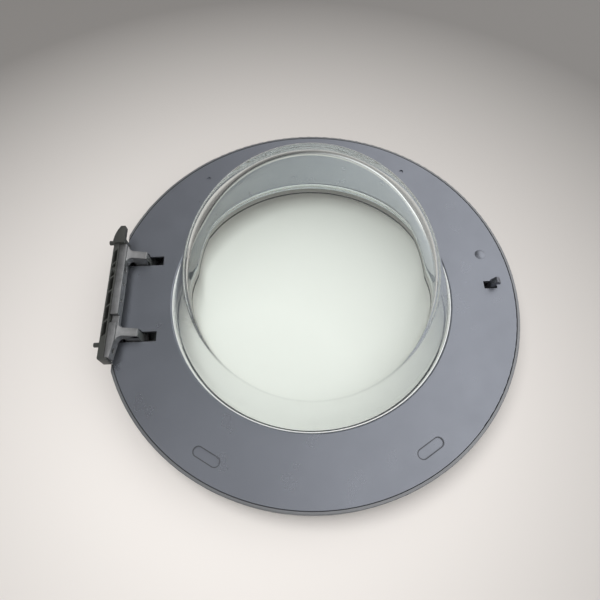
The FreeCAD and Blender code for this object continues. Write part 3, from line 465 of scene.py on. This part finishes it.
def turn_profile(shape, steps):
    """Spin a profile once round the door's axis."""
    bmesh.ops.spin(
        shape, geom=shape.verts[:] + shape.edges[:], cent=(0, 0, 0), axis=(0, 0, 1), dvec=(0, 0, 0),
        angle=math.tau, steps=steps, use_merge=True)
    bmesh.ops.remove_doubles(shape, verts=shape.verts, dist=MERGE_DISTANCE)


class DOOR_OT_rings(bpy.types.Operator):
    """Finish the two moulded rings"""

    bl_idname = "door.rings"
    bl_label = "Rings"

    def execute(self, context):
        finishes = context.scene.door_finishes
        dress("inner_frame", moulded_plastic("ring_satin_plastic", finishes.ring_grey, **RING_SURFACE))
        bezel = (finishes.bezel_pale, context.scene.door_detail.bezel_radius)
        dress("outer_frame", moulded_plastic(
            "frame_plastic", finishes.frame_grey, roughness=0.40, grain=900.0, depth=0.00005, metallic=0.7,
            middle=bezel))
        return {"FINISHED"}


def groove_shade_shape(detail, side):
    """Low oblong ring along the edge of one pad mark, which carries the painted shade of the groove there."""
    shape = bmesh.new()
    for radius in (detail.mark_radius, detail.mark_radius - detail.groove_shade_width):
        for vert in bmesh.ops.create_circle(shape, segments=GROOVE_SHADE_STEPS, radius=radius)["verts"]:
            vert.co.x += math.copysign(detail.mark_run, vert.co.x)
    bmesh.ops.bridge_loops(shape, edges=shape.edges[:])
    raised = bmesh.ops.extrude_face_region(shape, geom=shape.faces[:])["geom"]
    tops = [item for item in raised if isinstance(item, bmesh.types.BMVert)]
    bmesh.ops.translate(shape, verts=tops, vec=(0, 0, detail.groove_shade_height))
    bmesh.ops.recalc_face_normals(shape, faces=shape.faces)
    turn = Matrix.Rotation(side * detail.mark_angle, 4, "Z")
    place = Matrix.Translation((0, -detail.mark_place, detail.rim_height - detail.mark_depth))
    bmesh.ops.transform(shape, matrix=turn @ place, verts=shape.verts)
    return shape


def buffer_shape(detail):
    """Low domed buffer that stands in the dimple beside the latch."""
    reach = detail.buffer_radius
    edge_top = detail.buffer_height
    shape = new_profile(((0, 0, edge_top), (reach, 0, edge_top), (reach, 0, 0), (0, 0, 0)))[0]
    top = [edge for edge in shape.edges if all(vert.co.z > 0 for vert in edge.verts)]
    bmesh.ops.subdivide_edges(shape, edges=top, cuts=BUFFER_CUTS)
    for vert in shape.verts:
        if vert.co.z > 0:
            vert.co.z += detail.buffer_rise * (1 - (vert.co.x / reach) ** 2)
    turn_profile(shape, BUFFER_STEPS)
    bmesh.ops.recalc_face_normals(shape, faces=shape.faces)
    bmesh.ops.translate(shape, verts=shape.verts, vec=detail.buffer_place)
    return shape


class DOOR_OT_marks(bpy.types.Operator):
    """Lay dark rings along the pad marks' edges, painted shade for the grooves there, and stand the buffer
    beside the latch
    """

    bl_idname = "door.marks"
    bl_label = "Marks"

    def execute(self, context):
        detail = context.scene.door_detail
        grey = context.scene.door_finishes.ring_grey
        # Painted shade: the dark rings stand in for the shade in the grooves round the pad marks.
        dark = moulded_plastic(
            "groove_shade_plastic", shade(grey, 0.30), roughness=0.60, grain=1100.0, depth=0.00006)
        pale = moulded_plastic("buffer_plastic", grey, **RING_SURFACE)
        for name, shape, material in (
                ("pad_groove_shade_left", groove_shade_shape(detail, -1), dark),
                ("pad_groove_shade_right", groove_shade_shape(detail, 1), dark),
                ("latch_buffer", buffer_shape(detail), pale)):
            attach(finished_piece(name, shape, material), "door")
        return {"FINISHED"}


def rounded_corner(shape, corner, radius, steps):
    """Round one corner of an open profile to the given radius."""
    before, after = [edge.other_vert(corner).co - corner.co for edge in corner.link_edges]
    turn = math.pi - before.angle(after)
    bmesh.ops.bevel(
        shape, geom=[corner], offset=radius * math.tan(turn / 2), offset_type="OFFSET", affect="VERTICES",
        segments=steps, profile=0.5, material=-1)


def bowl_skin(detail, inset, corner, foot_round):
    """Profile of one skin of a bowl with a level end, the given depth inside the glass."""
    slant = math.hypot(1, detail.bowl_taper)
    flange = detail.rim_height - detail.flange_drop - inset
    end_top = detail.rim_height + detail.bowl_end - inset
    at_rim = detail.bowl_radius - inset * slant
    foot = at_rim + detail.bowl_taper * (detail.rim_height - flange)
    end = at_rim - detail.bowl_taper * (end_top - detail.rim_height)
    edge_drop = end ** 2 / (2 * detail.bowl_dome)
    end += detail.bowl_taper * edge_drop
    shape, spots = new_profile((
        (detail.flange_radius, 0, flange), (foot, 0, flange), (end, 0, end_top - edge_drop), (0, 0, end_top)))
    rounded_corner(shape, spots[2], corner, CORNER_STEPS)
    rounded_corner(shape, spots[1], foot_round, FOOT_STEPS)
    long_edges = [edge for edge in shape.edges if edge.calc_length() > detail.bowl_end / 2]
    bmesh.ops.subdivide_edges(shape, edges=long_edges, cuts=WALL_CUTS)
    for vert in shape.verts:
        vert.co.z += max(vert.co.x * (end - vert.co.x), 0.0) / (2 * detail.bowl_dome)
    return shape


def slant_end(shape, detail):
    """Tilt the bowl's end: each point slides along its own line to the cone's peak, the foot not at all."""
    peak = detail.rim_height + detail.bowl_radius / detail.bowl_taper
    flange_top = detail.rim_height - detail.flange_drop
    end_top = detail.rim_height + detail.bowl_end
    pull = math.tan(detail.bowl_slant) / (peak - end_top)
    for vert in shape.verts:
        risen = min(max((vert.co.z - flange_top - detail.bowl_foot) / (end_top - flange_top), 0.0), 1.0)
        scale = 1 / (1 + pull * risen * vert.co.y)
        vert.co = Vector((0, 0, peak)) + (vert.co - Vector((0, 0, peak))) * scale


def bowl_shape(detail):
    """Glass between an outer and an inner skin, thicker in the corner, with its end tilted."""
    inner = bowl_skin(
        detail, detail.bowl_wall, detail.bowl_inner_corner, detail.bowl_foot + detail.bowl_wall)
    inner_skin = bpy.data.meshes.new("inner_skin")
    inner.to_mesh(inner_skin)
    inner.free()
    shape = bowl_skin(detail, 0.0, detail.bowl_corner, detail.bowl_foot)
    shape.from_mesh(inner_skin)
    bpy.data.meshes.remove(inner_skin)
    shape.edges.new(sorted(shape.verts, key=lambda vert: vert.co.x)[-2:])
    turn_profile(shape, detail.bowl_steps)
    slant_end(shape, detail)
    bmesh.ops.recalc_face_normals(shape, faces=shape.faces)
    return shape


class DOOR_OT_glass(bpy.types.Operator):
    """Press the glass bowl as one smooth piece"""

    bl_idname = "door.glass"
    bl_label = "Glass bowl"

    def execute(self, context):
        glass = pressed_glass("bowl_glass", context.scene.door_finishes)
        bowl = finished_piece("glass_bowl", bowl_shape(context.scene.door_detail), glass)
        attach(bowl, "door")
        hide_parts("door_glass")
        dress("door_glass", glass)
        return {"FINISHED"}


def rubber_ring(inside, outside, low, high, crown_round, steps):
    """Turned ring with its two upper edges rounded."""
    shape, spots = new_profile(
        ((inside, 0, low), (outside, 0, low), (outside, 0, high), (inside, 0, high)), closed=True)
    bmesh.ops.bevel(
        shape, geom=spots[2:], offset=crown_round, offset_type="OFFSET", affect="VERTICES",
        segments=CROWN_STEPS, profile=0.5, material=-1)
    turn_profile(shape, steps)
    bmesh.ops.recalc_face_normals(shape, faces=shape.faces)
    return shape


class DOOR_OT_seal(bpy.types.Operator):
    """Lay the seal beside the glass wall (partly a painted highlight), the gasket round the glass flange
    (with a painted glow) and the dark lip at the opening (painted shade)
    """

    bl_idname = "door.seal"
    bl_label = "Seal"

    def execute(self, context):
        detail = context.scene.door_detail
        finishes = context.scene.door_finishes
        # The pale seal is partly a real seal in the gap and partly a painted highlight for the bright line on
        # the ring's rounded inner edge.
        rubber = moulded_plastic("seal_rubber_and_highlight", finishes.seal_pale, **RUBBER_SURFACE)
        # Painted glow: the gasket, collar and cap give off light, standing in for light carried down inside
        # the glass wall to the flange.
        glow_painted_rubber = moulded_plastic("gasket_rubber_painted_glow", finishes.seal_pale, **RUBBER_SURFACE)
        glow_painted_shader = glow_painted_rubber.node_tree.nodes["Principled BSDF"]
        glow_painted_shader.inputs["Emission Color"].default_value = (*finishes.gasket_glow, 1)
        glow_painted_shader.inputs["Emission Strength"].default_value = finishes.glow_strength
        # Painted shade: the black lip round the opening stands in for the dark shade line at the opening's
        # edge.
        lip_shade_rubber = moulded_plastic(
            "lip_rubber_painted_shade", finishes.carrier_black, roughness=0.60, grain=900.0, depth=0.00004)
        crown = detail.rim_height - detail.seal_drop
        flange_top = detail.rim_height - detail.flange_drop
        seat = flange_top - detail.bowl_wall
        gasket_top = seat + detail.gasket_height
        cap_foot = flange_top - detail.gasket_height
        for name, material, inside, outside, low, high, crown_round in (
                ("glass_seal_and_highlight", rubber, detail.seal_inside, detail.seal_outside,
                 crown - detail.seal_depth, crown, detail.seal_round),
                ("opening_lip_painted_shade", lip_shade_rubber, detail.lip_inside, detail.lip_outside,
                 seat - detail.lip_height, seat + detail.lip_height, detail.gasket_round),
                ("flange_gasket", glow_painted_rubber, detail.gasket_inside, detail.gasket_outside,
                 seat + detail.gasket_gap, gasket_top, detail.gasket_round),
                ("flange_collar", glow_painted_rubber, detail.gasket_outside - detail.gasket_height,
                 detail.gasket_outside, gasket_top, cap_foot, detail.gasket_round),
                ("flange_cap", glow_painted_rubber, detail.gasket_inside + detail.bowl_foot, detail.gasket_outside,
                 cap_foot, flange_top - detail.gasket_gap, detail.gasket_round)):
            shape = rubber_ring(inside, outside, low, high, crown_round, detail.bowl_steps)
            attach(finished_piece(name, shape, material), "door")
        return {"FINISHED"}


class DOOR_OT_hinge(bpy.types.Operator):
    """Round and finish the cast hinge and the cover behind it"""

    bl_idname = "door.hinge"
    bl_label = "Hinge"

    def execute(self, context):
        finishes = context.scene.door_finishes
        detail = context.scene.door_detail
        casting = cast_metal("hinge_casting", finishes.casting_grey, roughness=0.46)
        soften_node("hinge_bracket", "hinge", detail.casting_round, casting)
        cover = moulded_plastic(
            "cover_plastic", finishes.cover_dark, roughness=0.50, grain=800.0, depth=0.0001)
        soften_node("hinge_cover", "hinge", detail.cover_round, cover)
        bush = moulded_plastic(
            "bush_plastic", finishes.bush_cream, roughness=0.40, grain=1200.0, depth=0.00004)
        dress("hinge_bush_upper", bush)
        dress("hinge_bush_lower", bush)
        return {"FINISHED"}


class DOOR_OT_latch(bpy.types.Operator):
    """Round and finish the latch hook and its carrier"""

    bl_idname = "door.latch"
    bl_label = "Latch"

    def execute(self, context):
        finishes = context.scene.door_finishes
        detail = context.scene.door_detail
        hook = cast_metal("hook_metal", finishes.hook_dark, roughness=0.42)
        soften_node("latch_hook", "hook", detail.hook_round, hook)
        dress("latch_carrier", moulded_plastic(
            "carrier_plastic", finishes.carrier_black, roughness=0.55, grain=800.0, depth=0.0001))
        return {"FINISHED"}


class DOOR_OT_inner_metal(bpy.types.Operator):
    """Finish the pins, screws, clips, spring and the hinge's support"""

    bl_idname = "door.inner_metal"
    bl_label = "Inner metal"

    def execute(self, context):
        zinc = context.scene.door_finishes.zinc_grey
        along_pin = drawn_metal("zinc_pins", zinc, roughness=0.32, stretch=(1.0, 0.05, 1.0))
        along_axis = drawn_metal("zinc_screws", zinc, roughness=0.34, stretch=(1.0, 1.0, 0.05))
        rolled = drawn_metal("support_steel", shade(zinc, 0.9), roughness=0.42, stretch=(1.0, 0.08, 1.0))
        for node in ("hinge_pin", "hinge_pin_clips", "hook_pin", "hook_spring"):
            dress(node, along_pin)
        for node in ("hinge_carrier_screws", "latch_carrier_screws"):
            dress(node, along_axis)
        dress("hinge_carrier", rolled)
        return {"FINISHED"}


def table_material(stage):
    """Pale matt table top whose colour darkens away from a spot near its middle: painted shade standing in
    for the lamp's light falling off across the table.
    """
    material, tree, shader = new_material("pale_table_painted_shade")
    away = add_node(tree, "ShaderNodeVectorMath", operation="DISTANCE")
    tree.links.new(object_place(tree), away.inputs[0])
    away.inputs[1].default_value = stage.fade_centre
    # Painted shade: darker table colour away from the fade centre.
    painted_falloff = ranged(tree, away.outputs["Value"], stage.fade_start, stage.fade_end)
    falloff_shade_colour = shade(stage.table_colour, stage.fade_share)
    tree.links.new(tinted(tree, painted_falloff, stage.table_colour, falloff_shade_colour), shader.inputs["Base Color"])
    shader.inputs["Roughness"].default_value = stage.table_roughness
    shader.inputs["Specular IOR Level"].default_value = stage.table_gloss
    return material


def add_table(stage):
    shape = bmesh.new()
    bmesh.ops.create_grid(shape, x_segments=1, y_segments=1, size=stage.table_size / 2)
    table = finished_piece("table_top", shape, table_material(stage))
    table.location.z = CAD_BOX[0].z - stage.table_gap


def soft_patch(tree, direction, centre, edge, low, high):
    """Light that rises smoothly from low to high towards the patch's centre."""
    facing = add_node(tree, "ShaderNodeVectorMath", operation="DOT_PRODUCT")
    tree.links.new(direction, facing.inputs[0])
    facing.inputs[1].default_value = Vector(centre).normalized()
    patch = add_node(tree, "ShaderNodeMapRange", clamp=True, interpolation_type="SMOOTHERSTEP")
    for name, value in (("From Min", edge), ("From Max", 1.0), ("To Min", low), ("To Max", high)):
        patch.inputs[name].default_value = value
    tree.links.new(facing.outputs["Value"], patch.inputs["Value"])
    return patch.outputs["Result"]


def room_world(stage):
    """Even room light with two soft bright patches."""
    world = bpy.data.worlds.new("room")
    world.use_nodes = True
    tree = world.node_tree
    direction = add_node(tree, "ShaderNodeTexCoord").outputs["Generated"]
    glow = soft_patch(
        tree, direction, stage.glow_direction, stage.patch_edge, stage.room_light,
        stage.room_light + stage.glow_light)
    ceiling = soft_patch(
        tree, direction, stage.ceiling_direction, stage.patch_edge, 0.0, stage.ceiling_light)
    both = add_node(tree, "ShaderNodeMath", operation="ADD")
    tree.links.new(glow, both.inputs[0])
    tree.links.new(ceiling, both.inputs[1])
    background = tree.nodes["Background"]
    tree.links.new(both.outputs["Value"], background.inputs["Strength"])
    background.inputs["Color"].default_value = (1.0, 1.0, 1.0, 1)
    return world


def add_lamp(stage):
    """Soft lamp overhead that shows in no reflection and not through the glass."""
    lamp = bpy.data.lights.new("ceiling_lamp", "AREA")
    lamp.shape = "DISK"
    lamp.size = stage.lamp_size
    lamp.energy = stage.lamp_power
    holder = bpy.data.objects.new("ceiling_lamp", lamp)
    holder.location = stage.lamp_place
    aim = Vector(stage.lamp_target) - Vector(stage.lamp_place)
    holder.rotation_euler = aim.to_track_quat("-Z", "Y").to_euler()
    holder.visible_glossy = False
    holder.visible_transmission = False
    bpy.context.scene.collection.objects.link(holder)


def add_camera(stage):
    camera = bpy.data.cameras.new("photo_camera")
    camera.lens = stage.lens
    camera.sensor_width = stage.sensor_width
    camera.sensor_fit = "HORIZONTAL"
    camera.clip_start = stage.near_clip
    holder = bpy.data.objects.new("photo_camera", camera)
    holder.matrix_world = Matrix.LocRotScale(stage.camera_place, stage.camera_turn, None)
    bpy.context.scene.collection.objects.link(holder)
    bpy.context.scene.camera = holder


class DOOR_OT_stage(bpy.types.Operator):
    """Make the table, the room light, the lamp and the camera"""

    bl_idname = "door.stage"
    bl_label = "Stage"

    def execute(self, context):
        scene = context.scene
        stage = scene.door_stage
        add_table(stage)
        scene.world = room_world(stage)
        add_lamp(stage)
        add_camera(stage)
        scene.view_settings.view_transform = "Standard"
        scene.cycles.max_bounces = stage.light_bounces
        scene.cycles.transmission_bounces = stage.light_bounces
        scene.cycles.glossy_bounces = stage.light_bounces
        return {"FINISHED"}


PIECE_OPERATORS = (
    DOOR_OT_rings, DOOR_OT_marks, DOOR_OT_glass, DOOR_OT_seal, DOOR_OT_hinge, DOOR_OT_latch,
    DOOR_OT_inner_metal, DOOR_OT_stage)


class DOOR_PT_panel(bpy.types.Panel):
    """Lists the door's pieces"""

    bl_idname = "DOOR_PT_panel"
    bl_label = "Washing Machine Door"
    bl_space_type = "VIEW_3D"
    bl_region_type = "UI"
    bl_category = "Door"

    def draw(self, context):
        for operator in PIECE_OPERATORS:
            self.layout.operator(operator.bl_idname)


SETTINGS = {"door_finishes": DoorFinishes, "door_detail": DoorDetail, "door_stage": DoorStage}
CLASSES = (*SETTINGS.values(), *PIECE_OPERATORS, DOOR_PT_panel)


def register():
    for cls in CLASSES:
        bpy.utils.register_class(cls)
    for name, cls in SETTINGS.items():
        setattr(bpy.types.Scene, name, bpy.props.PointerProperty(type=cls))


def unregister():
    for name in SETTINGS:
        delattr(bpy.types.Scene, name)
    for cls in reversed(CLASSES):
        bpy.utils.unregister_class(cls)


def main():
    register()
    bpy.ops.door.rings()
    bpy.ops.door.marks()
    bpy.ops.door.glass()
    bpy.ops.door.seal()
    bpy.ops.door.hinge()
    bpy.ops.door.latch()
    bpy.ops.door.inner_metal()
    bpy.ops.door.stage()


if __name__ == "__main__":
    main()
